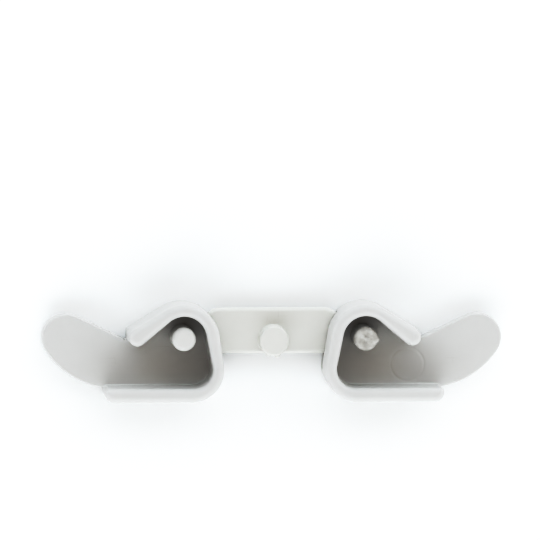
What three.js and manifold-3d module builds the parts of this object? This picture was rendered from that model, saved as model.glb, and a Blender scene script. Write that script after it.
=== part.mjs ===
/**
 * Stair gate latch: two swinging jaws on one link strap.
 *
 * Each jaw is a closed lever plate with a finger tab, a hook wall that stands on the plate round a
 * pear-shaped pocket, and a round pivot pin. The eye at each end of the link strap lies in a slot
 * in the plate's side, on the pin, so that the jaws swing about their pins. A short stud stands in
 * the middle of the strap, in line with both pins.
 *
 * Frame, in millimetres: X runs along the latch, Y towards the rounded apex of the pockets, Z up,
 * out of the open side. The closed faces of both jaws lie on Z = 0, and the origin is at the middle
 * of the latch's footprint. Jaw shapes are drawn about the right jaw's pin axis, with u outwards
 * (+X) and v towards the apex (+Y). The left jaw is their mirror image.
 */
import * as THREE from "three";
import { mergeVertices } from "three/addons/utils/BufferGeometryUtils.js";
import Module from "manifold-3d";

const wasm = await Module();
wasm.setup();

// Layout of the whole latch.
const PIN_X = 22.8; // from the middle plane to each pin axis
const PIN_Y = 3.6; // of the pin axes; it centres the footprint on the origin
const SWING = THREE.MathUtils.degToRad(20); // how far a jaw can turn on its pin
const CLEARANCE = 0.3; // between neighbouring pieces

// Levels, from the closed face up.
const SKIN_TOP = 1.8; // the lever plate's skin under the slot
const LINK_THICKNESS = 2.5;
const FLOOR_TOP = 5.8; // pocket floor and inner face of the finger tab
const RIM_TOP = 15.6; // top of the hook wall

// Outer line of a jaw.
const APEX_R = 9;
const APEX_V = -0.35; // its centre, just off the pin axis
const HEEL_R = 8.2; // corner between the inner wall and the straight wall
const HEEL_U = -1.9;
const STRAIGHT_V = -15.85; // outer face of the straight wall
const STRAIGHT_END_U = 19.8;
const STRAIGHT_END_R = 2.4;
const LIP_SLOPE = THREE.MathUtils.degToRad(31.5); // of the lip's outer line
const LIP_TIP_R = 2.4;
const LIP_END_U = 13.9;
const LIP_HEEL_CUT = 0.9; // blunts the plate's corner behind the lip

// Inner line of the pocket.
const POCKET_APEX_R = 5.85; // about the pin axis
const POCKET_HEEL_R = 4.2;
const POCKET_HEEL_U = -3.3;
const STRAIGHT_WALL = 3.8; // its thickness

// Finger tab.
const TAB_ROOT = new THREE.Vector2(13.8, -1.05); // in the notch beside the lip
const TAB_TIP = new THREE.Vector2(29, -0.5); // centre of the round tip
const TAB_TIP_R = 6;
const TAB_BELLY_R = 21; // long outer curve, from the tip to the straight wall
const TAB_END = new THREE.Vector2(19.8, -12.95); // where that curve meets the straight wall's end

// Edge rounding.
const PLATE_EDGE = 1.6; // round the closed face
const RIM_EDGE = 1.1; // both edges of the hook wall's rim
const LINK_EDGE = 1;
const POST_EDGE = 0.5; // rim of the pins and the stud

// Link strap and its posts.
const LINK_LOW_V = -4.55; // edge on the straight walls' side
const LINK_HIGH_V = 6.95; // edge on the apex side
const LINK_CORNER_R = 5.5;
const LINK_CORNER_U = -10; // where that corner starts
const LINK_CORNER_TURN = THREE.MathUtils.degToRad(40);
const EYE_R = 5;
const EYE_END = THREE.MathUtils.degToRad(135); // where the eye's round meets the neck
const PIN_R = 3.1;
const PIN_FOOT = 1.3; // the pin's lower end, in a shallow socket of the lever plate
const PIN_TOP = 14.6;
const STUD_R = 3.7;
const STUD_RISE = 3.9; // above the strap
const STUD = new THREE.Vector2(0.3, -1.05); // axis of the stud, about the middle of the pins
const STUD_SHANK_R = 2.2;
const STUD_SHANK = 1.6; // depth of its shank in the strap

// Facets.
const ARC_STEP = THREE.MathUtils.degToRad(12);
const EDGE_STEPS = 3;
const POST_SIDES = 32;

const LINK_BOTTOM = SKIN_TOP + CLEARANCE;
const LINK_TOP = LINK_BOTTOM + LINK_THICKNESS;
const SLOT_TOP = LINK_TOP + CLEARANCE;
const BORE_R = PIN_R + CLEARANCE;
const END_INNER_R = STRAIGHT_WALL - STRAIGHT_END_R; // pocket side of the straight wall's end
const FAR = 60; // beyond every face of a jaw, for cutting blocks

const point = (u, v) => new THREE.Vector2(u, v);
const polar = (centre, radius, angle) =>
  point(centre.x + radius * Math.cos(angle), centre.y + radius * Math.sin(angle));

/** Points of an arc from one angle to another, in even steps, both ends included. */
function arc(centre, radius, from, to, steps = Math.ceil(Math.abs(to - from) / ARC_STEP)) {
  return Array.from({ length: steps + 1 }, (_, i) =>
    polar(centre, radius, from + ((to - from) * i) / steps),
  );
}

/** Outward normal's angle of the line that touches two circles, left of the way from a to b. */
function tangentNormal(a, radiusA, b, radiusB) {
  const way = b.clone().sub(a);
  return way.angle() + Math.acos((radiusA - radiusB) / way.length());
}

/** Where two circles meet, on the left of the way from a to b. */
function circlesMeet(a, radiusA, b, radiusB) {
  const way = b.clone().sub(a);
  const gap = way.length();
  const along = (radiusA ** 2 - radiusB ** 2 + gap ** 2) / (2 * gap);
  return polar(a, radiusA, way.angle() + Math.acos(along / radiusA));
}

const PIN = point(0, 0);
const APEX = point(0, APEX_V);
const HEEL = point(HEEL_U, STRAIGHT_V + HEEL_R);
const POCKET_HEEL = point(POCKET_HEEL_U, STRAIGHT_V + STRAIGHT_WALL + POCKET_HEEL_R);
const LIP_NORMAL = Math.PI / 2 - LIP_SLOPE;
const LIP_TIP = (() => {
  const u = LIP_END_U - LIP_TIP_R;
  const reach = APEX_R - LIP_TIP_R - u * Math.cos(LIP_NORMAL);
  return point(u, APEX_V + reach / Math.sin(LIP_NORMAL));
})();
const INNER_NORMAL = tangentNormal(HEEL, HEEL_R, APEX, APEX_R);
const POCKET_NORMAL = tangentNormal(POCKET_HEEL, POCKET_HEEL_R, PIN, POCKET_APEX_R);
const LIP_INNER_NORMAL =
  LIP_TIP.angle() + Math.acos((POCKET_APEX_R + LIP_TIP_R) / LIP_TIP.length());

/** Outer line of a jaw, from the straight wall's end round the heel and the apex to the lip. */
const jawBack = () => [
  ...arc(
    point(STRAIGHT_END_U - STRAIGHT_END_R, STRAIGHT_V + STRAIGHT_END_R),
    STRAIGHT_END_R, 0, -Math.PI / 2,
  ),
  ...arc(HEEL, HEEL_R, -Math.PI / 2, INNER_NORMAL - 2 * Math.PI),
  ...arc(APEX, APEX_R, INNER_NORMAL, LIP_NORMAL),
];

/** Blunt corner of the plate behind the round tip of the lip. */
const lipHeel = () => {
  const reach = APEX_R - TAB_ROOT.x * Math.cos(LIP_NORMAL);
  const corner = point(TAB_ROOT.x, APEX_V + reach / Math.sin(LIP_NORMAL));
  return [
    polar(corner, LIP_HEEL_CUT, LIP_NORMAL + Math.PI / 2),
    polar(corner, LIP_HEEL_CUT, -Math.PI / 2),
  ];
};

/** Finger tab, from its root in the notch round the tip to the straight wall's end. */
const tabEdge = () => {
  const reach = TAB_TIP.clone().sub(TAB_ROOT);
  const start = reach.angle() + Math.asin(TAB_TIP_R / reach.length()) + Math.PI / 2;
  const belly = circlesMeet(TAB_END, TAB_BELLY_R, TAB_TIP, TAB_BELLY_R - TAB_TIP_R);
  const bend = TAB_TIP.clone().sub(belly).angle();
  const end = TAB_END.clone().sub(belly).angle();
  const turn = (angle) => (angle > Math.PI ? angle - 2 * Math.PI : angle);
  return [
    TAB_ROOT,
    ...arc(TAB_TIP, TAB_TIP_R, start, turn(bend)),
    ...arc(belly, TAB_BELLY_R, turn(bend), turn(end)).slice(1),
  ];
};

const plateOutline = () => [...jawBack(), ...lipHeel(), ...tabEdge()];

/** Band of the hook wall: the outer line, the round lip tip, and back along the pocket. */
const hookBand = () => [
  ...jawBack(),
  ...arc(LIP_TIP, LIP_TIP_R, LIP_NORMAL, LIP_INNER_NORMAL - Math.PI),
  ...arc(PIN, POCKET_APEX_R, LIP_INNER_NORMAL, POCKET_NORMAL),
  ...arc(POCKET_HEEL, POCKET_HEEL_R, POCKET_NORMAL, 1.5 * Math.PI),
  ...arc(
    point(STRAIGHT_END_U - END_INNER_R, STRAIGHT_V + STRAIGHT_END_R),
    END_INNER_R, Math.PI / 2, 0,
  ).slice(0, -1),
];

/** Rounded corner between the strap's apex side and the neck of its eye, grown by a margin. */
const strapCorner = (margin) =>
  arc(
    point(LINK_CORNER_U, LINK_HIGH_V - LINK_CORNER_R),
    LINK_CORNER_R + margin, Math.PI / 2 - LINK_CORNER_TURN, Math.PI / 2,
  );

/** One half of the link strap with its eye on the pin. */
const linkHalf = () => [
  ...arc(PIN, EYE_R, Math.asin(-LINK_LOW_V / EYE_R) - Math.PI, EYE_END),
  ...strapCorner(0),
];

/** Room for the strap in a jaw, from rest to its full swing. */
const slotSweep = () => [
  point(-PIN_X, LINK_LOW_V - CLEARANCE).rotateAround(PIN, SWING),
  ...arc(PIN, EYE_R + CLEARANCE, -Math.PI / 2, EYE_END),
  ...strapCorner(CLEARANCE),
  point(-PIN_X, LINK_HIGH_V + CLEARANCE),
];

/** Solid of a closed geometry. */
function solid(geometry) {
  const bare = geometry.index ? geometry.toNonIndexed() : geometry.clone();
  bare.deleteAttribute("normal");
  bare.deleteAttribute("uv");
  const merged = mergeVertices(bare, 1e-5);
  const mesh = new wasm.Mesh({
    numProp: 3,
    vertProperties: new Float32Array(merged.attributes.position.array),
    triVerts: new Uint32Array(merged.index.array),
  });
  return new wasm.Manifold(mesh);
}

/** Prism of an outline between two levels, with its ends' edges rounded by a radius. */
function prism(outline, bottom, top, round = 0) {
  const geometry = new THREE.ExtrudeGeometry(new THREE.Shape(outline), {
    depth: top - bottom - 2 * round,
    bevelEnabled: round > 0,
    bevelThickness: round,
    bevelSize: round,
    bevelOffset: -round,
    bevelSegments: EDGE_STEPS,
    steps: 1,
  });
  return solid(geometry.translate(0, 0, bottom + round));
}

/** Round post with a rounded upper rim. Its lower part is a list of [radius, level] steps. */
function post(steps, radius, top, centre) {
  const bend = point(radius - POST_EDGE, top - POST_EDGE);
  const rim = arc(bend, POST_EDGE, 0, Math.PI / 2, EDGE_STEPS);
  const foot = steps.map(([r, z]) => point(r, z));
  const profile = [point(0, foot[0].y), ...foot, ...rim, point(0, top)];
  const geometry = new THREE.LatheGeometry(profile, POST_SIDES).rotateX(Math.PI / 2);
  return solid(geometry.translate(centre.x, centre.y, 0));
}

/** Round cutter between two levels. */
function bore(bottom, top, radius, centre) {
  const geometry = new THREE.CylinderGeometry(radius, radius, top - bottom, POST_SIDES);
  return solid(geometry.rotateX(Math.PI / 2).translate(centre.x, centre.y, (top + bottom) / 2));
}

/** Cutter for everything between two levels. */
const slab = (bottom, top) =>
  prism([point(-FAR, -FAR), point(FAR, -FAR), point(FAR, FAR), point(-FAR, FAR)], bottom, top);

/** Closed face, finger tab and pocket floor, with the slot that the strap's eye swings in. */
function leverPlate() {
  return prism(plateOutline(), 0, FLOOR_TOP + 2 * PLATE_EDGE, PLATE_EDGE)
    .subtract(slab(FLOOR_TOP, FAR))
    .subtract(prism(slotSweep(), SKIN_TOP, SLOT_TOP))
    .subtract(bore(PIN_FOOT - CLEARANCE, FAR, BORE_R, PIN));
}

/** Hook wall that stands on the plate round the pocket. */
function hookWall() {
  const foot = FLOOR_TOP + CLEARANCE;
  return prism(hookBand(), foot - 2 * RIM_EDGE, RIM_TOP, RIM_EDGE).subtract(slab(-FAR, foot));
}

const pivotPin = () => post([[PIN_R, PIN_FOOT]], PIN_R, PIN_TOP, PIN);

/** Link strap with an eye at each end and a blind socket for the stud. */
function linkStrap() {
  const right = linkHalf().map((p) => point(p.x + PIN_X, p.y));
  const left = right.map((p) => point(-p.x, p.y)).reverse();
  return prism([...right, ...left], LINK_BOTTOM, LINK_TOP, LINK_EDGE)
    .subtract(bore(0, FAR, BORE_R, point(PIN_X, 0)))
    .subtract(bore(0, FAR, BORE_R, point(-PIN_X, 0)))
    .subtract(bore(LINK_TOP - STUD_SHANK, FAR, STUD_SHANK_R + CLEARANCE, STUD));
}

/** Stud whose head stands on the strap and whose shank sits in the socket. */
function centreStud() {
  const shankFoot = LINK_TOP - STUD_SHANK + CLEARANCE;
  const seat = LINK_TOP + CLEARANCE;
  const steps = [[STUD_SHANK_R, shankFoot], [STUD_SHANK_R, seat], [STUD_R, seat]];
  return post(steps, STUD_R, LINK_TOP + STUD_RISE, STUD);
}

/** Geometry of a finished solid. */
function geometryOf(manifold) {
  const mesh = manifold.getMesh();
  const geometry = new THREE.BufferGeometry();
  geometry.setAttribute("position", new THREE.BufferAttribute(mesh.vertProperties, 3));
  geometry.setIndex(new THREE.BufferAttribute(mesh.triVerts, 1));
  geometry.computeVertexNormals();
  return geometry;
}

/** The same geometry seen in a mirror across the latch's middle plane. */
function mirrored(geometry) {
  const copy = geometry.clone().scale(-1, 1, 1);
  const order = copy.index.array;
  for (let i = 0; i < order.length; i += 3) {
    [order[i], order[i + 1]] = [order[i + 1], order[i]];
  }
  copy.computeVertexNormals();
  return copy;
}

const JAW_WHITE = { color: 0xe9eaec, roughness: 0.42, metalness: 0 };
const LINK_WHITE = { color: 0xe9e8e2, roughness: 0.5, metalness: 0 };

/** A named mesh with a finish of its own. */
function piece(name, geometry, finish) {
  const mesh = new THREE.Mesh(geometry, new THREE.MeshStandardMaterial(finish));
  mesh.name = name;
  return mesh;
}

/** One jaw of three pieces, on its own pin axis. */
function jaw(side, x, turn) {
  const group = new THREE.Group();
  group.position.x = x;
  group.add(piece(`${side}_lever_plate`, turn(geometryOf(leverPlate())), JAW_WHITE));
  group.add(piece(`${side}_hook_wall`, turn(geometryOf(hookWall())), JAW_WHITE));
  group.add(piece(`${side}_pivot_pin`, turn(geometryOf(pivotPin())), JAW_WHITE));
  return group;
}

const latch = new THREE.Group();
latch.position.y = PIN_Y;
latch.add(piece("link_strap", geometryOf(linkStrap()), LINK_WHITE));
latch.add(piece("centre_stud", geometryOf(centreStud()), LINK_WHITE));
latch.add(jaw("right", PIN_X, (geometry) => geometry));
latch.add(jaw("left", -PIN_X, mirrored));

export default latch;
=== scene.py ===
"""Looks of a stair gate latch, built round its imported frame.

Two white moulded jaws swing on pins at the ends of a flat link strap. Each piece is a solid that is
written as a signed distance in millimetres: negative inside, positive outside. That form gives true
fillets, moulding draft and small marks, and a net of quads is then drawn over it. The pieces replace
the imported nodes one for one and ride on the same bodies.

Jaw shapes are drawn about the jaw's own pin axis, with u outwards, v towards the rounded apex and z
out of the open side. The left jaw is the right one's mirror image.
"""

import cmath
import logging
import math
from collections.abc import Callable, Mapping
from dataclasses import dataclass, field
from enum import Enum

import bpy
import numpy as np
from mathutils import Matrix, Vector


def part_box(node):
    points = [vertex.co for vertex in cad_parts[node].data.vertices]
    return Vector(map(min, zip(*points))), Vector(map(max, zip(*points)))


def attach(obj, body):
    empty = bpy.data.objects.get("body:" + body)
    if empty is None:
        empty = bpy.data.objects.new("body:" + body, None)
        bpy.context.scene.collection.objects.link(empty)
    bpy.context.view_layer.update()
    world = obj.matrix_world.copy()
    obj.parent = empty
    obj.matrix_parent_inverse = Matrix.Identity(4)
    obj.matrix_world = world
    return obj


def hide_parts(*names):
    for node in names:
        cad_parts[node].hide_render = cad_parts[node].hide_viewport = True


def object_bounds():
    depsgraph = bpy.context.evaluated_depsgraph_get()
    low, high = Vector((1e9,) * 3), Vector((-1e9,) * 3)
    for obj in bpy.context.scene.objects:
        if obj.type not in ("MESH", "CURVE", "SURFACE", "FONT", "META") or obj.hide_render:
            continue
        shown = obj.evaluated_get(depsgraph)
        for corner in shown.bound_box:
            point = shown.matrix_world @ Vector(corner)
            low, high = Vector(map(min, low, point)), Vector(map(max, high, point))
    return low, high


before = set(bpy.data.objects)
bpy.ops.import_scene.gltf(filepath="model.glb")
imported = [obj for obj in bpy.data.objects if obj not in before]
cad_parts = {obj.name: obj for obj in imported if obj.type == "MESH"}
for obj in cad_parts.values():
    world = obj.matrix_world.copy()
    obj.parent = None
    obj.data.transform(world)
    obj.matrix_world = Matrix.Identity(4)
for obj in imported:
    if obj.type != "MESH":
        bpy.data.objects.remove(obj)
CAD_LOW, CAD_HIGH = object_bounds()

MM = 0.001
log = logging.getLogger("latch")

Numbers = np.ndarray
Solid = Callable[[Numbers, Numbers, Numbers], Numbers]


class Side(Enum):
    """The two jaws, with the direction of X that is outwards on each."""

    RIGHT = 1
    LEFT = -1

    @property
    def word(self) -> str:
        """Name of the side as the nodes use it."""
        return self.name.lower()


# --------------------------------------------------------------------------------------- solids


def both(a: Numbers, b: Numbers, edge: float = 0.0) -> Numbers:
    """Distance to what two solids share.

    Args:
        a: Distance to the first solid.
        b: Distance to the second solid.
        edge: Radius of the rounded edge where their faces meet.

    Returns:
        Distance to the shared solid.
    """
    outside = np.hypot(np.maximum(a + edge, 0), np.maximum(b + edge, 0))
    return outside + np.minimum(np.maximum(a, b), -edge)


def either(a: Numbers, b: Numbers, fillet: float = 0.0) -> Numbers:
    """Distance to two solids joined, with a fillet in the corner between them."""
    return -both(-a, -b, fillet)


def cut(a: Numbers, b: Numbers, edge: float = 0.0) -> Numbers:
    """Distance to solid a without solid b, with the new edge rounded."""
    return both(a, -b, edge)


def slab(z: Numbers, bottom: float, top: float) -> Numbers:
    """Distance to everything between two levels."""
    return np.maximum(bottom - z, z - top)


def bump(distance: Numbers, width: float) -> Numbers:
    """Smooth hump of height 1 where a distance is 0, fading out over a width."""
    return np.exp(-((distance / width) ** 2))


# ------------------------------------------------------------------------------------- outlines


ARC_STEP = 0.25  # longest step between the points of an arc, in millimetres


def arc(centre: complex, radius: float, start: float, end: float) -> list[complex]:
    """Points of an arc between two angles."""
    steps = max(3, math.ceil(radius * abs(end - start) / ARC_STEP))
    return [centre + cmath.rect(radius, a) for a in np.linspace(start, end, steps + 1)]


def corner(before: complex, tip: complex, after: complex, radius: float) -> list[complex]:
    """Rounds the corner between two straight lines.

    Args:
        before: A point on the line that leads to the corner.
        tip: The sharp corner.
        after: A point on the line that leads away from it.
        radius: Radius of the arc that replaces the corner.

    Returns:
        The arc's points, in the order of travel.
    """
    back, onward = before - tip, after - tip
    back, onward = back / abs(back), onward / abs(onward)
    half = abs(cmath.phase(onward / back)) / 2
    middle = (back + onward) / abs(back + onward)
    centre = tip + middle * radius / math.sin(half)
    start = tip + back * radius / math.tan(half) - centre
    end = tip + onward * radius / math.tan(half) - centre
    angle = cmath.phase(start)
    return arc(centre, radius, angle, angle + cmath.phase(end / start))


def tangent_normal(a: complex, radius_a: float, b: complex, radius_b: float) -> float:
    """Angle of the outward normal of the line that touches two circles, left of a to b."""
    way = b - a
    return cmath.phase(way) + math.acos((radius_a - radius_b) / abs(way))


def circles_meet(a: complex, radius_a: float, b: complex, radius_b: float) -> complex:
    """Finds where two circles meet, on the left of the way from the first to the second.

    Args:
        a: Centre of the first circle.
        radius_a: Its radius.
        b: Centre of the second circle.
        radius_b: Its radius.

    Returns:
        The point that lies on both.
    """
    way = b - a
    along = (radius_a**2 - radius_b**2 + abs(way) ** 2) / (2 * abs(way))
    return a + cmath.rect(radius_a, cmath.phase(way) + math.acos(along / radius_a))


class Outline:
    """A closed line in the u, v plane that answers with its signed distance."""

    STEP = 0.125  # spacing of the grid of known distances
    MARGIN = 2.5  # how far the grid goes past the line
    SAME = 1e-9  # corners closer than this are one corner
    SHORT = 1.001  # how many steps short of the grid's size a looked-up point stays

    def __init__(self, points: list[complex]) -> None:
        """Measures the plane round the line once, on a fine grid.

        Args:
            points: Corners of the closed line, in order.
        """
        line = np.array(points)
        self.low = line.real.min() - self.MARGIN, line.imag.min() - self.MARGIN
        high = line.real.max() + self.MARGIN, line.imag.max() + self.MARGIN
        axes = [np.arange(a, b + self.STEP, self.STEP) for a, b in zip(self.low, high)]
        spots = axes[0][:, None] + 1j * axes[1][None, :]
        nearest = np.full(spots.shape, np.inf)
        inside = np.zeros(spots.shape, bool)
        for a, b in zip(line, np.roll(line, -1)):
            way = b - a
            if abs(way) < self.SAME:
                continue
            share = np.clip(((spots - a) * way.conjugate()).real / abs(way) ** 2, 0, 1)
            nearest = np.minimum(nearest, np.abs(spots - a - share * way))
            if way.imag:
                passes = (a.imag > spots.imag) != (b.imag > spots.imag)
                at = a.real + way.real * (spots.imag - a.imag) / way.imag
                inside ^= passes & (spots.real < at)
        self.map = np.where(inside, -nearest, nearest)

    def __call__(self, u: Numbers, v: Numbers) -> Numbers:
        """Looks up how far points are from the line.

        Args:
            u: First coordinate of the points.
            v: Second coordinate of the points.

        Returns:
            Signed distances, negative inside the line.
        """
        size = self.map.shape
        across = np.clip((u - self.low[0]) / self.STEP, 0, size[0] - self.SHORT)
        along = np.clip((v - self.low[1]) / self.STEP, 0, size[1] - self.SHORT)
        i, j = across.astype(int), along.astype(int)
        a, b = across - i, along - j
        near = self.map[i, j] * (1 - b) + self.map[i, j + 1] * b
        far = self.map[i + 1, j] * (1 - b) + self.map[i + 1, j + 1] * b
        return near * (1 - a) + far * a


# ------------------------------------------------------------------------------------ mesh work


@dataclass(frozen=True)
class Net:
    """Draws a net of quads over a solid.

    The grid starts a lead of 1.37 cells below the solid, so that the lowest faces lie between its
    rows. The net's points then settle onto the surface in a few steps, and are probed for its slope.
    """

    cell: float
    settle: int = 4
    probe: float = 0.02
    lead: float = 1.37
    least_steep: float = 0.25

    def slope(self, solid: Solid, spots: Numbers) -> Numbers:
        """Finds the direction in which the distance grows.

        Args:
            solid: Signed distance of the solid.
            spots: Points, one to a row.

        Returns:
            The slope at each point, one to a row.
        """
        steps = np.eye(3) * self.probe
        rows = [solid(*(spots + s).T) - solid(*(spots - s).T) for s in steps]
        return np.stack(rows, 1) / (2 * self.probe)

    def draw(self, solid: Solid, low: Numbers, high: Numbers) -> tuple[Numbers, Numbers, Numbers]:
        """Finds the surface of a solid inside a box.

        Args:
            solid: Signed distance of the solid.
            low: Lowest corner of its box.
            high: Highest corner of its box.

        Returns:
            Points on the surface, quads that join them, and the surface's normals there.
        """
        start = low - self.lead * self.cell
        counts = np.ceil((high - start) / self.cell).astype(int) + 2
        axes = [start[k] + self.cell * np.arange(counts[k]) for k in range(3)]
        value = solid(*np.meshgrid(*axes, indexing="ij"))
        spots, owners = [], []
        for axis in range(3):
            first = tuple(slice(None, -1) if k == axis else slice(None) for k in range(3))
            second = tuple(slice(1, None) if k == axis else slice(None) for k in range(3))
            a, b = value[first], value[second]
            index = np.argwhere((a < 0) != (b < 0))
            a, b = a[tuple(index.T)], b[tuple(index.T)]
            along = np.eye(3, dtype=int)
            p, q = along[(axis + 1) % 3], along[(axis + 2) % 3]
            ring = np.stack([index, index - p, index - p - q, index - q], 1)
            ring[a >= 0] = ring[a >= 0][:, ::-1]
            owners.append(np.ravel_multi_index(ring.transpose(2, 0, 1), counts))
            spots.append(index + (a / (a - b))[:, None] * along[axis])
        owners, spots = np.concatenate(owners), np.concatenate(spots)
        names, quads = np.unique(owners, return_inverse=True)
        quads = quads.reshape(owners.shape)
        weight = np.bincount(quads.ravel(), minlength=len(names))
        points = np.stack(
            [np.bincount(quads.ravel(), np.repeat(s, 4)) / weight for s in spots.T], 1
        )
        points = start + points * self.cell
        for _ in range(self.settle):
            slope = self.slope(solid, points)
            steep = np.maximum((slope**2).sum(1), self.least_steep)
            step = -(solid(*points.T) / steep)[:, None] * slope
            points += np.clip(step, -self.cell / 2, self.cell / 2)
        normals = self.slope(solid, points)
        return points, quads, normals / np.linalg.norm(normals, axis=1)[:, None]


@dataclass(frozen=True)
class Place:
    """Where a solid's own axes lie on the latch."""

    centre: complex = 0j
    turned: int = 1

    def mesh(self, name: str, net: Net, solid: Solid, low: Numbers, high: Numbers) -> bpy.types.Object:
        """Makes a smooth mesh object of a solid.

        Args:
            name: Name of the new piece.
            net: Fineness of the mesh.
            solid: Signed distance of the solid, about its own axes in millimetres.
            low: Lowest corner of the solid.
            high: Highest corner of the solid.

        Returns:
            The new object, in metres, in place on the latch.
        """
        points, quads, normals = net.draw(solid, np.array(low, float), np.array(high, float))
        mirror = np.array([self.turned, 1, 1])
        points, normals = points * mirror, normals * mirror
        points += [self.centre.real, self.centre.imag, 0]
        if self.turned < 0:
            quads = quads[:, ::-1]
        mesh = bpy.data.meshes.new(name)
        mesh.from_pydata((points * MM).tolist(), [], quads.tolist())
        mesh.polygons.foreach_set("use_smooth", np.ones(len(quads), bool))
        mesh.normals_split_custom_set_from_vertices(normals.tolist())
        piece = bpy.data.objects.new(name, mesh)
        bpy.context.scene.collection.objects.link(piece)
        log.info("%s: %d quads", name, len(quads))
        return piece


def box_mm(node: str) -> tuple[Vector, Vector]:
    """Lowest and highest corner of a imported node, in millimetres."""
    low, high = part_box(node)
    return low / MM, high / MM


def stand_for(
    piece: bpy.types.Object, material: bpy.types.Material, node: str, body: str
) -> None:
    """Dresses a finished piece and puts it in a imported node's place.

    Args:
        piece: The finished piece.
        material: Its one material.
        node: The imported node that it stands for.
        body: The body that it moves with.
    """
    piece.data.materials.append(material)
    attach(piece, body)
    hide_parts(node)


# -------------------------------------------------------------------------------------- shaders

Colour = tuple[float, float, float, float]
Span = tuple[float, float]
Triple = tuple[float, float, float]


class Graph:
    """The node tree of a material or a world, written as expressions."""

    def __init__(self, owner: bpy.types.ID) -> None:
        """Takes over a node tree and empties it.

        Args:
            owner: The material or world that the tree belongs to.
        """
        owner.use_nodes = True
        self.tree = owner.node_tree
        self.tree.nodes.clear()

    def node(
        self, kind: str, settings: Mapping[str, object] | None = None,
        sockets: Mapping[str | int, object] | None = None,
    ) -> bpy.types.Node:
        """Adds one node.

        Args:
            kind: Blender's name of the node type, after "ShaderNode".
            settings: The node's own properties, set before its sockets.
            sockets: Values or links, by the name or number of the input.

        Returns:
            The new node.
        """
        made = self.tree.nodes.new("ShaderNode" + kind)
        for key, value in (settings or {}).items():
            setattr(made, key, value)
        for key, value in (sockets or {}).items():
            if isinstance(value, Value):
                value = value.socket
            if isinstance(value, bpy.types.NodeSocket):
                self.tree.links.new(value, made.inputs[key])
            else:
                made.inputs[key].default_value = value
        return made

    def place(self, kind: str = "Object") -> bpy.types.NodeSocket:
        """Coordinates: a piece's own, in metres, unless another kind is named."""
        return self.node("TexCoord").outputs[kind]

    def axes(self, place: bpy.types.NodeSocket) -> list["Value"]:
        """The three coordinates of a place, each as a number."""
        apart = self.node("SeparateXYZ", None, {0: place})
        return [Value(self, axis) for axis in apart.outputs]

    def noise(self, place: bpy.types.NodeSocket, scale: float, detail: float) -> "Value":
        """Cloudy noise from 0 to 1, with a number of clouds to the metre."""
        sockets = {"Vector": place, "Scale": scale, "Detail": detail}
        return Value(self, self.node("TexNoise", None, sockets).outputs["Fac"])

    def streaks(self, place: bpy.types.NodeSocket, scales: Triple, detail: float) -> "Value":
        """Noise with its own number of clouds to the metre along each axis."""
        drawn = self.node("VectorMath", {"operation": "MULTIPLY"}, {0: place, 1: scales}).outputs[0]
        return self.noise(drawn, 1.0, detail)

    def mix(self, share: "Value", a: object, b: object) -> bpy.types.NodeSocket:
        """Colour between a and b."""
        settings = {"data_type": "RGBA", "clamp_factor": True}
        return self.node("Mix", settings, {0: share, 6: a, 7: b}).outputs[2]


class Value:
    """A number that varies over a surface or a sky."""

    def __init__(self, graph: Graph, socket: bpy.types.NodeSocket) -> None:
        """Wraps an output socket of a graph."""
        self.graph = graph
        self.socket = socket

    def _math(self, operation: str, a: object, b: object = 0.0) -> "Value":
        """Adds one Math node."""
        made = self.graph.node("Math", {"operation": operation}, {0: a, 1: b})
        return Value(self.graph, made.outputs[0])

    def __add__(self, other: "Value | float") -> "Value":
        """Sum."""
        return self._math("ADD", self, other)

    def __radd__(self, other: float) -> "Value":
        """Sum with a plain number on the left."""
        return self._math("ADD", other, self)

    def __sub__(self, other: "Value | float") -> "Value":
        """Difference."""
        return self._math("SUBTRACT", self, other)

    def __rsub__(self, other: float) -> "Value":
        """Difference with a plain number on the left."""
        return self._math("SUBTRACT", other, self)

    def __mul__(self, other: "Value | float") -> "Value":
        """Product."""
        return self._math("MULTIPLY", self, other)

    def __rmul__(self, other: float) -> "Value":
        """Product with a plain number on the left."""
        return self._math("MULTIPLY", other, self)

    def __abs__(self) -> "Value":
        """Size without its sign."""
        return self._math("ABSOLUTE", self)

    def step(self, span: Span) -> "Value":
        """Makes a smooth step of this number.

        Args:
            span: Where the step starts to rise from 0, and where it reaches 1.

        Returns:
            The step.
        """
        settings = {"interpolation_type": "SMOOTHSTEP", "clamp": True}
        sockets = {"Value": self, "From Min": span[0], "From Max": span[1]}
        return Value(self.graph, self.graph.node("MapRange", settings, sockets).outputs[0])


@dataclass(frozen=True)
class Torn:
    """Duller, ragged look of torn plastic above a level of the piece, in metres."""

    colour: Colour
    above: float
    fade: Span = (-0.0005, 0.0003)
    scale: float = 600.0
    ragged: Span = (0.1, 0.8)

    def share(self, graph: Graph, place: bpy.types.NodeSocket) -> Value:
        """Works out how torn the surface is.

        Args:
            graph: The material's graph.
            place: Coordinates of the piece.

        Returns:
            From 0 where it is whole to 1 where it is torn.
        """
        height = graph.axes(place)[2]
        end = height.step((self.above + self.fade[0], self.above + self.fade[1]))
        return graph.noise(place, self.scale, 3.0).step(self.ragged) * end


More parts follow.
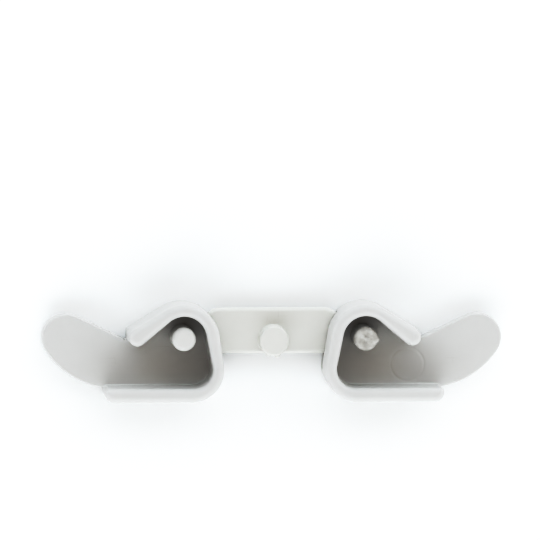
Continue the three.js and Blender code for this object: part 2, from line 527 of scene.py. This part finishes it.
@dataclass(frozen=True)
class MouldedWhite:
    """White plastic as it comes out of a mould: satin, faintly cloudy, with light handling marks.

    Scales are in clouds of noise to the metre. A span is where a smooth step rises.
    """

    name: str
    tint: Colour
    shade: Colour
    scuff: Colour
    roughness: float
    grain: float
    scuffs: float
    torn: Torn | None = None
    cloud_scale: float = 85.0
    cloud_span: Span = (0.3, 0.7)
    cloud_rough: float = 0.08
    mottle_scale: float = 650.0
    mottle_share: float = 0.3
    mottle_rough: float = 0.12
    grain_scale: float = 5200.0
    grain_depth: float = 0.00002
    speck_scale: float = 1900.0
    speck_span: Span = (0.78, 0.82)
    speck_share: float = 0.35
    patch_scale: float = 140.0
    patch_span: Span = (0.48, 0.66)
    rub_scales: Triple = (160.0, 2600.0, 900.0)
    rub_span: Span = (0.6, 0.72)
    cross_scales: Triple = (2200.0, 220.0, 700.0)
    cross_span: Span = (0.62, 0.74)
    mark_share: float = 0.6
    mark_rough: float = 0.14
    ior: float = 1.47

    def marks(self, graph: Graph, place: bpy.types.NodeSocket) -> Value:
        """Makes fine rub marks that run two ways, in patches.

        Args:
            graph: The material's graph.
            place: Coordinates of the piece.

        Returns:
            How strongly the surface is marked.
        """
        rubbed = graph.streaks(place, self.rub_scales, 4.0).step(self.rub_span)
        crossed = graph.streaks(place, self.cross_scales, 4.0).step(self.cross_span)
        patches = graph.noise(place, self.patch_scale, 2.0).step(self.patch_span)
        return (rubbed + crossed) * patches * self.scuffs

    def material(self) -> bpy.types.Material:
        """Builds the material.

        Returns:
            The finished material.
        """
        material = bpy.data.materials.new(self.name)
        graph = Graph(material)
        place = graph.place()
        clouds = graph.noise(place, self.cloud_scale, 3.0)
        mottle = graph.noise(place, self.mottle_scale, 3.0)
        grain = graph.noise(place, self.grain_scale, 2.0)
        specks = graph.noise(place, self.speck_scale, 1.0).step(self.speck_span)
        marks = self.marks(graph, place)
        cloudy = clouds.step(self.cloud_span) * (1 - self.mottle_share) + mottle * self.mottle_share
        body = graph.mix(cloudy, self.tint, self.shade)
        if self.torn:
            body = graph.mix(self.torn.share(graph, place), body, self.torn.colour)
        colour = graph.mix(marks * self.mark_share + specks * self.speck_share, body, self.scuff)
        uneven = (mottle - 0.5) * self.mottle_rough + (clouds - 0.5) * self.cloud_rough
        roughness = self.roughness + uneven + marks * self.mark_rough
        height = grain * 0.5 + mottle * 0.5 - marks * 0.5
        bump_sockets = {"Strength": self.grain, "Distance": self.grain_depth, "Height": height}
        surface = graph.node("BsdfPrincipled", None, {
            "Base Color": colour, "Roughness": roughness, "IOR": self.ior,
            "Specular IOR Level": 0.5, "Normal": graph.node("Bump", None, bump_sockets).outputs[0],
        })
        graph.node("OutputMaterial", None, {"Surface": surface.outputs[0]})
        return material


# ----------------------------------------------------------------------------------------- jaws


@dataclass(frozen=True)
class EjectorRing:
    """Faint round groove that an ejector leaves in the pocket floor."""

    centre: complex = 11.3 - 7.3j
    radius: float = 4.2
    depth: float = 0.05
    width: float = 0.3

    def sink(self, u: Numbers, v: Numbers) -> Numbers:
        """How deep the groove is at each point."""
        off = np.hypot(u - self.centre.real, v - self.centre.imag) - self.radius
        return self.depth * bump(off, self.width)


@dataclass(frozen=True)
class PinEnd:
    """Flat end of a pin with a shallow hollow in its middle."""

    depth: float = 0.05
    reach: float = 1.3

    def sink(self, u: Numbers, v: Numbers) -> Numbers:
        """How deep the hollow is at each point."""
        return self.depth * bump(np.hypot(u, v), self.reach)

    def lump(self, u: Numbers, v: Numbers, above: Numbers) -> Numbers | None:
        """Distance to a lump that stands on the end, of which a clean one has none."""
        return None


@dataclass(frozen=True)
class TornEnd(PinEnd):
    """End of a pin where the gate broke off: a ragged hollow, and a lump at the rim."""

    depth: float = 0.3
    reach: float = 2.0
    waves: tuple[Triple, ...] = ((2.9, 1.3, 0.6), (-0.9, 2.3, 0.0))
    lump_centre: Triple = (2.55, -0.2, -0.9)
    lump_radius: float = 0.8

    def sink(self, u: Numbers, v: Numbers) -> Numbers:
        """Makes the ragged hollow out of waves that cross.

        Args:
            u: First coordinate of the points.
            v: Second coordinate of the points.

        Returns:
            How deep the hollow is at each point.
        """
        ragged = self.depth
        for along_u, along_v, shift in self.waves:
            ragged = ragged * np.sin(along_u * u + along_v * v + shift)
        return (self.depth + ragged) * bump(np.hypot(u, v), self.reach)

    def lump(self, u: Numbers, v: Numbers, above: Numbers) -> Numbers:
        """Distance to the lump, with heights counted from the end's level."""
        off = (u - self.lump_centre[0], v - self.lump_centre[1], above - self.lump_centre[2])
        return np.sqrt(off[0] ** 2 + off[1] ** 2 + off[2] ** 2) - self.lump_radius


@dataclass
class Jaw:
    """One jaw: lever plate with finger tab, hook wall round the pocket, and pivot pin.

    The wall stands sunk into the plate, whose flat top is the pocket floor. The clearance is the room
    that the plate's slot leaves round the strap.
    """

    side: Side
    ring: EjectorRing | None = None
    pin_end: PinEnd = PinEnd()
    apex_radius: float = 9.0
    apex_v: float = -0.35
    heel_radius: float = 8.2
    heel_u: float = -1.9
    straight_v: float = -15.85
    straight_end_u: float = 19.8
    straight_end_radius: float = 2.4
    straight_wall: float = 3.55
    lip_slope: float = math.radians(31.5)
    lip_tip_radius: float = 2.2
    lip_end_u: float = 13.9
    lip_heel_radius: float = 0.9
    pocket_apex_radius: float = 5.65
    pocket_heel_radius: float = 4.7
    pocket_heel_u: float = -2.5
    tab_root: complex = 13.8 - 1.05j
    tab_root_radius: float = 0.5
    tab_tip: complex = 29.0 - 0.5j
    tab_tip_radius: float = 6.0
    tab_belly_radius: float = 21.0
    tab_end: complex = 19.8 - 12.95j
    plate_edge: float = 1.6
    face_edge: float = 0.4
    rim_edge: float = 1.5
    foot_fillet: float = 0.5
    foot_lap: float = 0.03
    wall_sunk: float = 0.4
    draft: float = 0.004
    skin: float = 1.8
    pin_edge: float = 1.15
    pin_taper: float = 0.015
    lump_fillet: float = 0.35
    lump_room: float = 0.3
    slot_edge: float = 0.3
    slot_corner: float = 0.9
    clearance: float = 0.15
    swing: float = math.radians(20)
    inner_reach: float = 11.5
    net: Net = Net(0.28)
    pin_net: Net = Net(0.17)
    floor: float = field(init=False)
    rim: float = field(init=False)
    pin_radius: float = field(init=False)
    pin_foot: float = field(init=False)
    pin_top: float = field(init=False)
    slot_top: float = field(init=False)
    place: Place = field(init=False)
    heel: complex = field(init=False)
    pocket_heel: complex = field(init=False)
    apex: complex = field(init=False)
    lip_normal: float = field(init=False)
    lip_tip: complex = field(init=False)

    def __post_init__(self) -> None:
        """Takes levels and the pin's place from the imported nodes, and works out the arcs' centres."""
        plate, wall, pin = (f"{self.side.word}_{n}" for n in ("lever_plate", "hook_wall", "pivot_pin"))
        pin_low, pin_high = box_mm(pin)
        self.floor = box_mm(plate)[1].z
        self.rim = box_mm(wall)[1].z
        self.pin_radius = (pin_high.x - pin_low.x) / 2
        self.pin_foot, self.pin_top = pin_low.z, pin_high.z
        axis = (pin_low + pin_high) / 2
        self.place = Place(complex(axis.x, axis.y), self.side.value)
        self.slot_top = box_mm("link_strap")[1].z + 2 * self.clearance
        self.heel = complex(self.heel_u, self.straight_v + self.heel_radius)
        self.pocket_heel = complex(
            self.pocket_heel_u, self.straight_v + self.straight_wall + self.pocket_heel_radius
        )
        self.lip_normal = math.pi / 2 - self.lip_slope
        tip_u = self.lip_end_u - self.lip_tip_radius
        tip_v = self.apex_radius - self.lip_tip_radius - tip_u * math.cos(self.lip_normal)
        self.apex = complex(0, self.apex_v)
        self.lip_tip = complex(tip_u, self.apex_v + tip_v / math.sin(self.lip_normal))

    def back(self) -> list[complex]:
        """Draws the outer line that plate and wall share.

        Returns:
            Its points, from the straight wall's end round the heel and the apex to the lip.
        """
        end = complex(
            self.straight_end_u - self.straight_end_radius, self.straight_v + self.straight_end_radius
        )
        inner = tangent_normal(self.heel, self.heel_radius, self.apex, self.apex_radius)
        return [
            *arc(end, self.straight_end_radius, 0, -math.pi / 2),
            *arc(self.heel, self.heel_radius, -math.pi / 2, inner - 2 * math.pi),
            *arc(self.apex, self.apex_radius, inner, self.lip_normal),
        ]

    def plate_outline(self) -> Outline:
        """Draws the line round the lever plate and its finger tab.

        Returns:
            The closed line.
        """
        back = self.back()
        root_v = self.apex_radius - self.tab_root.real * math.cos(self.lip_normal)
        lip_heel = complex(self.tab_root.real, self.apex_v + root_v / math.sin(self.lip_normal))
        reach = self.tab_tip - self.tab_root
        start = cmath.phase(reach) + math.asin(self.tab_tip_radius / abs(reach)) + math.pi / 2
        leaves = self.tab_tip + cmath.rect(self.tab_tip_radius, start)
        belly = circles_meet(
            self.tab_end, self.tab_belly_radius, self.tab_tip, self.tab_belly_radius - self.tab_tip_radius
        )
        bend = cmath.phase(self.tab_tip - belly)
        return Outline([
            *back,
            *corner(back[-1], lip_heel, self.tab_root, self.lip_heel_radius),
            *corner(lip_heel, self.tab_root, leaves, self.tab_root_radius),
            *arc(self.tab_tip, self.tab_tip_radius, start, bend),
            *arc(belly, self.tab_belly_radius, bend, cmath.phase(self.tab_end - belly)),
        ])

    def wall_outline(self) -> Outline:
        """Draws the band of the hook wall.

        Returns:
            The closed line: along the outside, round the lip's tip and back along the pocket.
        """
        inner_radius = self.straight_wall - self.straight_end_radius
        end = complex(self.straight_end_u - inner_radius, self.straight_v + self.straight_end_radius)
        lip_inner = cmath.phase(self.lip_tip) + math.acos(
            (self.pocket_apex_radius + self.lip_tip_radius) / abs(self.lip_tip)
        )
        pocket = tangent_normal(
            self.pocket_heel, self.pocket_heel_radius, 0j, self.pocket_apex_radius
        )
        return Outline([
            *self.back(),
            *arc(self.lip_tip, self.lip_tip_radius, self.lip_normal, lip_inner - math.pi),
            *arc(0j, self.pocket_apex_radius, lip_inner, pocket),
            *arc(self.pocket_heel, self.pocket_heel_radius, pocket, 1.5 * math.pi),
            *arc(end, inner_radius, math.pi / 2, 0),
        ])

    def slot_outline(self, strap: "Strap") -> Outline:
        """Draws the room that the strap needs, from rest to the jaw's full swing.

        Args:
            strap: The strap that lies in the slot.

        Returns:
            The closed line.
        """
        inwards = -abs(self.place.centre.real)
        swung = complex(inwards, strap.low_v - self.clearance) * cmath.rect(1, self.swing)
        return Outline([
            swung,
            *arc(0j, strap.eye_radius + self.clearance, -math.pi / 2, strap.eye_end),
            *strap.shoulder(self.clearance),
            complex(inwards, strap.high_v + self.clearance),
        ])

    def plate(self, strap: "Strap") -> Solid:
        """Makes the lever plate: closed face, finger tab and pocket floor, with the strap's slot.

        Args:
            strap: The strap that lies in the slot.

        Returns:
            Signed distance of the plate.
        """
        edge, slot = self.plate_outline(), self.slot_outline(strap)

        def solid(u: Numbers, v: Numbers, z: Numbers) -> Numbers:
            """Measures how far points are from the plate.

            Args:
                u: How far out from the pin's axis.
                v: How far towards the apex.
                z: Height above the closed face.

            Returns:
                Signed distances.
            """
            side = edge(u, v) + self.draft * z
            floor = z - self.floor
            if self.ring:
                floor = floor + self.ring.sink(u, v)
            body = both(both(side, floor, self.face_edge), -z, self.plate_edge)
            room = both(slot(u, v), slab(z, self.skin, self.slot_top), self.slot_corner)
            return cut(body, room, self.slot_edge)

        return solid

    def wall(self) -> Solid:
        """Makes the hook wall, whose foot runs out on the pocket floor in a fillet.

        Returns:
            Signed distance of the wall.
        """
        band, edge = self.wall_outline(), self.plate_outline()
        bottom = self.floor - self.wall_sunk

        def solid(u: Numbers, v: Numbers, z: Numbers) -> Numbers:
            """Measures how far points are from the wall.

            Args:
                u: How far out from the pin's axis.
                v: How far towards the apex.
                z: Height above the closed face.

            Returns:
                Signed distances.
            """
            side = band(u, v)
            upright = both(side + self.draft * (z - bottom), z - self.rim, self.rim_edge)
            footed = either(upright, z - self.floor + self.foot_lap, self.foot_fillet)
            kept = np.maximum(edge(u, v), side - 2 * self.foot_fillet)
            return np.maximum(np.maximum(footed, kept), bottom - z)

        return solid

    def pin(self) -> Solid:
        """Makes the pivot pin.

        Returns:
            Signed distance of the pin.
        """

        def solid(u: Numbers, v: Numbers, z: Numbers) -> Numbers:
            """Measures how far points are from the pin.

            Args:
                u: How far out from the pin's axis.
                v: How far towards the apex.
                z: Height above the closed face.

            Returns:
                Signed distances.
            """
            side = np.hypot(u, v) - self.pin_radius + self.pin_taper * (z - self.floor)
            above = z - self.pin_top
            body = both(side, above + self.pin_end.sink(u, v), self.pin_edge)
            lump = self.pin_end.lump(u, v, above)
            if lump is not None:
                body = either(body, lump, self.lump_fillet)
            return np.maximum(body, self.pin_foot - z)

        return solid

    def build(self, strap: "Strap", finish: bpy.types.Material, pin_finish: bpy.types.Material) -> None:
        """Makes the jaw's three pieces and puts them on its body.

        Args:
            strap: The strap that lies in the jaw's slot.
            finish: Material of plate and wall.
            pin_finish: Material of the pin.
        """
        word, body = self.side.word, f"{self.side.word}_jaw"
        tab_end = abs(self.tab_tip.real) + self.tab_tip_radius
        low, high = self.straight_v, self.apex_v + self.apex_radius
        plate = self.place.mesh(
            f"{word}_plate", self.net, self.plate(strap),
            (-self.inner_reach, low, 0), (tab_end, high, self.floor),
        )
        stand_for(plate, finish, f"{word}_lever_plate", body)
        wall = self.place.mesh(
            f"{word}_hook", self.net, self.wall(),
            (-self.inner_reach, low, self.floor - self.wall_sunk), (self.straight_end_u, high, self.rim),
        )
        stand_for(wall, finish, f"{word}_hook_wall", body)
        r = self.pin_radius
        pin = self.place.mesh(
            f"{word}_pin", self.pin_net, self.pin(),
            (-r, -r, self.pin_foot), (r + self.lump_room, r, self.pin_top),
        )
        stand_for(pin, pin_finish, f"{word}_pivot_pin", body)


# ---------------------------------------------------------------------------------------- strap


@dataclass(frozen=True)
class Lobe:
    """A small lobe on the stud's side, left where the plastic flowed in."""

    along: float
    radius: float
    stands_out: float


@dataclass
class Strap:
    """Link strap with an eye at each end, and the stud in its middle.

    The clearance is the room between an eye's hole and its pin.
    """

    edge: float = 1.0
    low_v: float = -4.55
    eye_radius: float = 5.0
    eye_end: float = math.radians(135)
    shoulder_radius: float = 5.5
    shoulder_u: float = -10.0
    shoulder_turn: float = math.radians(40)
    sink_depth: float = 0.12
    sink_reach: float = 2.6
    hole_edge: float = 0.3
    clearance: float = 0.3
    stud_edge: float = 0.5
    stud_taper: float = 0.012
    stud_sunk: float = 0.2
    stud_fillet: float = 0.35
    dimple_depth: float = 0.06
    dimple_reach: float = 1.8
    skirt_reach: float = 1.1
    skirt_inset: float = 0.6
    skirt_lap: float = 0.02
    lobes: tuple[Lobe, ...] = (Lobe(-1.3, 0.75, 0.25), Lobe(0.8, 0.9, 0.5))
    lobe_drop: float = 0.5
    lobe_edge: float = 0.35
    lobe_fillet: float = 0.15
    net: Net = Net(0.22)
    stud_net: Net = Net(0.17)
    bottom: float = field(init=False)
    top: float = field(init=False)
    pin: Vector = field(init=False)
    pin_radius: float = field(init=False)
    high_v: float = field(init=False)
    half_length: float = field(init=False)
    stud_x: float = field(init=False)
    stud_v: float = field(init=False)
    stud_radius: float = field(init=False)
    stud_top: float = field(init=False)

    def __post_init__(self) -> None:
        """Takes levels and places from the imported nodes."""
        low, high = box_mm("link_strap")
        pin_low, pin_high = box_mm("right_pivot_pin")
        stud_low, stud_high = box_mm("centre_stud")
        self.bottom, self.top = low.z, high.z
        self.pin = (pin_low + pin_high) / 2
        self.pin_radius = (pin_high.x - pin_low.x) / 2
        self.high_v = high.y - self.pin.y
        self.half_length = high.x
        self.stud_x = (stud_low.x + stud_high.x) / 2
        self.stud_v = (stud_low.y + stud_high.y) / 2 - self.pin.y
        self.stud_radius = (stud_high.x - stud_low.x) / 2
        self.stud_top = stud_high.z

    def shoulder(self, margin: float) -> list[complex]:
        """Rounds the corner between the apex side and the neck of the right eye.

        Args:
            margin: How far outside the strap the corner is drawn.

        Returns:
            The arc's points.
        """
        centre = complex(self.shoulder_u, self.high_v - self.shoulder_radius)
        start = math.pi / 2 - self.shoulder_turn
        return arc(centre, self.shoulder_radius + margin, start, math.pi / 2)

    def outline(self) -> Outline:
        """Draws the line round the whole strap, about the middle of the two pins.

        Returns:
            The closed line.
        """
        start = math.asin(-self.low_v / self.eye_radius) - math.pi
        half = [*arc(0j, self.eye_radius, start, self.eye_end), *self.shoulder(0)]
        right = [p + self.pin.x for p in half]
        return Outline([*right, *(-p.conjugate() for p in reversed(right))])

    def strap(self) -> Solid:
        """Makes the flat strap with a hole for each pin and a faint sink under the stud.

        Returns:
            Signed distance of the strap.
        """
        line = self.outline()

        def solid(x: Numbers, v: Numbers, z: Numbers) -> Numbers:
            """Measures how far points are from the strap.

            Args:
                x: Place along the strap.
                v: How far towards the apexes from the pins' line.
                z: Height above the closed faces.

            Returns:
                Signed distances.
            """
            sink = self.sink_depth * bump(np.hypot(x - self.stud_x, v - self.stud_v), self.sink_reach)
            top = both(line(x, v), z - self.top, self.edge)
            body = both(top, self.bottom + sink - z, self.edge)
            hole = np.hypot(np.abs(x) - self.pin.x, v) - self.pin_radius - self.clearance
            return cut(body, hole, self.hole_edge)

        return solid

    def stud(self) -> Solid:
        """Makes the round stud with the two lobes on its straight-wall side.

        Returns:
            Signed distance of the stud.
        """
        foot, line = self.top - self.stud_sunk, self.outline()

        def solid(x: Numbers, v: Numbers, z: Numbers) -> Numbers:
            """Measures how far points are from the stud.

            Args:
                x: Place along the strap.
                v: How far towards the apexes from the pins' line.
                z: Height above the closed faces.

            Returns:
                Signed distances.
            """
            skirt = np.maximum(z - self.top + self.skirt_lap, line(x, v) + self.skirt_inset)
            x, v = x - self.stud_x, v - self.stud_v
            out = np.hypot(x, v)
            side, above = out - self.stud_radius + self.stud_taper * (z - foot), z - self.stud_top
            body = both(side, above, self.stud_edge)
            body = body + self.dimple_depth * bump(out, self.dimple_reach)
            for lobe in self.lobes:
                centre_v = lobe.radius - lobe.stands_out - self.stud_radius
                lobe_side = np.hypot(x - lobe.along, v - centre_v) - lobe.radius
                cushion = both(lobe_side, above + self.lobe_drop, self.lobe_edge)
                body = either(body, cushion, self.lobe_fillet)
            body = either(body, skirt, self.stud_fillet)
            return np.maximum(np.maximum(body, out - self.stud_radius - self.skirt_reach), foot - z)

        return solid

    def build(self, finish: bpy.types.Material) -> None:
        """Makes the strap and its stud.

        Args:
            finish: Material of both.
        """
        place = Place(complex(0, self.pin.y))
        strap = place.mesh(
            "strap", self.net, self.strap(),
            (-self.half_length, -self.eye_radius, self.bottom),
            (self.half_length, self.high_v, self.top),
        )
        stand_for(strap, finish, "link_strap", "link")
        r = self.stud_radius + self.skirt_reach
        stud = place.mesh(
            "stud", self.stud_net, self.stud(),
            (self.stud_x - r, self.stud_v - r, self.top - self.stud_sunk),
            (self.stud_x + r, self.stud_v + r, self.stud_top),
        )
        stand_for(stud, finish, "centre_stud", "link")


# --------------------------------------------------------------------------------------- studio


@dataclass(frozen=True)
class Lamp:
    """A soft round light that faces the latch."""

    name: str
    place: Triple
    size: float
    power: float

    def build(self) -> None:
        """Adds the light."""
        data = bpy.data.lights.new(self.name, "AREA")
        data.shape = "DISK"
        data.size = self.size
        data.energy = self.power
        lamp = bpy.data.objects.new(self.name, data)
        lamp.location = self.place
        lamp.rotation_euler = Vector(self.place).to_track_quat("Z", "Y").to_euler()
        bpy.context.scene.collection.objects.link(lamp)


@dataclass(frozen=True)
class Studio:
    """Pale floor, soft light and the camera.

    Places and lengths are in metres, but the lens and the sensor are in millimetres. The tone curve's
    spots are brightness before and after.
    """

    floor_radius: float = 4.0
    floor_sides: int = 96
    floor_drop: float = 0.00002
    floor_tint: Colour = (0.96, 0.96, 0.955, 1.0)
    floor_shade: float = 0.985
    floor_scale: float = 9.0
    floor_roughness: float = 0.75
    sky_dim: Colour = (0.17, 0.138, 0.11, 1.0)
    sky_bright: Colour = (0.91, 0.96, 1.0, 1.0)
    sky_span: Span = (0.15, 0.70)
    sky_power: float = 1.38
    end_light: float = 0.41
    lamps: tuple[Lamp, ...] = (
        Lamp("key", (1.2, 0.5, 0.45), 1.3, 2.0), Lamp("fill", (-0.3, -1.2, 0.45), 1.3, 2.6)
    )
    lens: float = 500.0
    sensor: float = 36.0
    view_width: float = 0.1354
    from_left: float = math.radians(5.0)
    from_above: float = math.radians(6.0)
    roll: float = math.radians(-0.3)
    aim_up: float = 0.0203
    aim_right: float = -0.00085
    tone_curve: tuple[Span, ...] = (
        (0.12, 0.025), (0.235, 0.078), (0.366, 0.29), (0.572, 0.695), (0.70, 0.86), (0.84, 1.0)
    )

    def floor(self) -> None:
        """Lays a wide round floor just under the latch."""
        mesh = bpy.data.meshes.new("floor")
        angles = np.linspace(0, 2 * math.pi, self.floor_sides, endpoint=False)
        ring = [cmath.rect(self.floor_radius, a) for a in angles]
        mesh.from_pydata([(p.real, p.imag, -self.floor_drop) for p in ring], [], [range(len(ring))])
        material = bpy.data.materials.new("pale_floor")
        graph = Graph(material)
        clouds = graph.noise(graph.place(), self.floor_scale, 3.0)
        shade = tuple(c * self.floor_shade for c in self.floor_tint[:3]) + (1.0,)
        surface = graph.node("BsdfPrincipled", None, {
            "Base Color": graph.mix(clouds, shade, self.floor_tint),
            "Roughness": self.floor_roughness + 0.1 * clouds, "Specular IOR Level": 0.2,
        })
        graph.node("OutputMaterial", None, {"Surface": surface.outputs[0]})
        mesh.materials.append(material)
        piece = bpy.data.objects.new("floor", mesh)
        bpy.context.scene.collection.objects.link(piece)

    def light(self) -> None:
        """Sets the lamps and a sky that is bright on both long sides of the latch and dim overhead.

        Low at the latch's two ends the sky is about half as bright as on the long sides.
        """
        world = bpy.data.worlds.new("studio")
        graph = Graph(world)
        _, y, z = graph.axes(graph.place("Generated"))
        glow = (abs(y) + self.end_light * (1 - z)).step(self.sky_span)
        sky = graph.node("Background", None, {
            "Color": graph.mix(glow, self.sky_dim, self.sky_bright), "Strength": self.sky_power,
        })
        graph.node("OutputWorld", None, {"Surface": sky.outputs[0]})
        bpy.context.scene.world = world
        for lamp in self.lamps:
            lamp.build()

    def film(self) -> None:
        """Gives the picture a contrasty tone curve: deep shade darker, whites clean."""
        view = bpy.context.scene.view_settings
        view.view_transform = "Standard"
        view.use_curve_mapping = True
        *_, all_colours = view.curve_mapping.curves
        for spot in self.tone_curve:
            all_colours.points.new(*spot)
        view.curve_mapping.update()

    @staticmethod
    def picture_axes(back: Vector) -> tuple[Vector, Vector]:
        """Right and up in the picture, from the direction that points back to the camera."""
        right = Vector((0, 1, 0)).cross(back).normalized()
        return right, back.cross(right)

    def camera(self) -> None:
        """Sets the camera over the open side, a little to the left and above in the picture."""
        centre = (CAD_LOW + CAD_HIGH) / 2
        back = Vector((-math.tan(self.from_left), math.tan(self.from_above), 1)).normalized()
        eye = centre + back * (self.view_width * self.lens / self.sensor)
        right, up = self.picture_axes(back)
        aim = centre + up * self.aim_up + right * self.aim_right
        back = (eye - aim).normalized()
        right, up = self.picture_axes(back)
        turn = Matrix((right, up, back)).transposed().to_4x4() @ Matrix.Rotation(-self.roll, 4, "Z")
        data = bpy.data.cameras.new("camera")
        data.lens = self.lens
        data.sensor_width = self.sensor
        camera = bpy.data.objects.new("camera", data)
        camera.matrix_world = Matrix.Translation(eye) @ turn
        bpy.context.scene.collection.objects.link(camera)
        bpy.context.scene.camera = camera

    def build(self) -> None:
        """Sets up the whole studio."""
        self.floor()
        self.light()
        self.film()
        self.camera()


JAW_WHITE = MouldedWhite(
    "cool_white", (0.64, 0.63, 0.615, 1), (0.615, 0.605, 0.59, 1), (0.54, 0.52, 0.49, 1),
    roughness=0.4, grain=0.35, scuffs=0.4,
)
LINK_WHITE = MouldedWhite(
    "warm_white", (0.70, 0.69, 0.66, 1), (0.67, 0.66, 0.63, 1), (0.57, 0.55, 0.51, 1),
    roughness=0.48, grain=0.4, scuffs=0.4,
)
PIN_WHITE = MouldedWhite(
    "pin_white", (0.67, 0.66, 0.64, 1), (0.63, 0.62, 0.60, 1), (0.55, 0.53, 0.5, 1),
    roughness=0.45, grain=0.5, scuffs=0.3,
)
TORN_WHITE = MouldedWhite(
    "torn_white", (0.67, 0.66, 0.64, 1), (0.63, 0.62, 0.60, 1), (0.55, 0.53, 0.5, 1),
    roughness=0.5, grain=0.7, scuffs=0.3, torn=Torn((0.44, 0.422, 0.395, 1), above=0.0135),
)


def main() -> None:
    """Builds the latch and its studio."""
    logging.basicConfig(level=logging.INFO, format="%(name)s %(message)s")
    Studio().build()
    strap = Strap()
    strap.build(LINK_WHITE.material())
    jaw_finish = JAW_WHITE.material()
    right = Jaw(Side.RIGHT, ring=EjectorRing(), pin_end=TornEnd())
    for jaw, pin_finish in ((right, TORN_WHITE), (Jaw(Side.LEFT), PIN_WHITE)):
        jaw.build(strap, jaw_finish, pin_finish.material())
        log.info("%s jaw done", jaw.side.word)


if __name__ == "__main__":
    main()
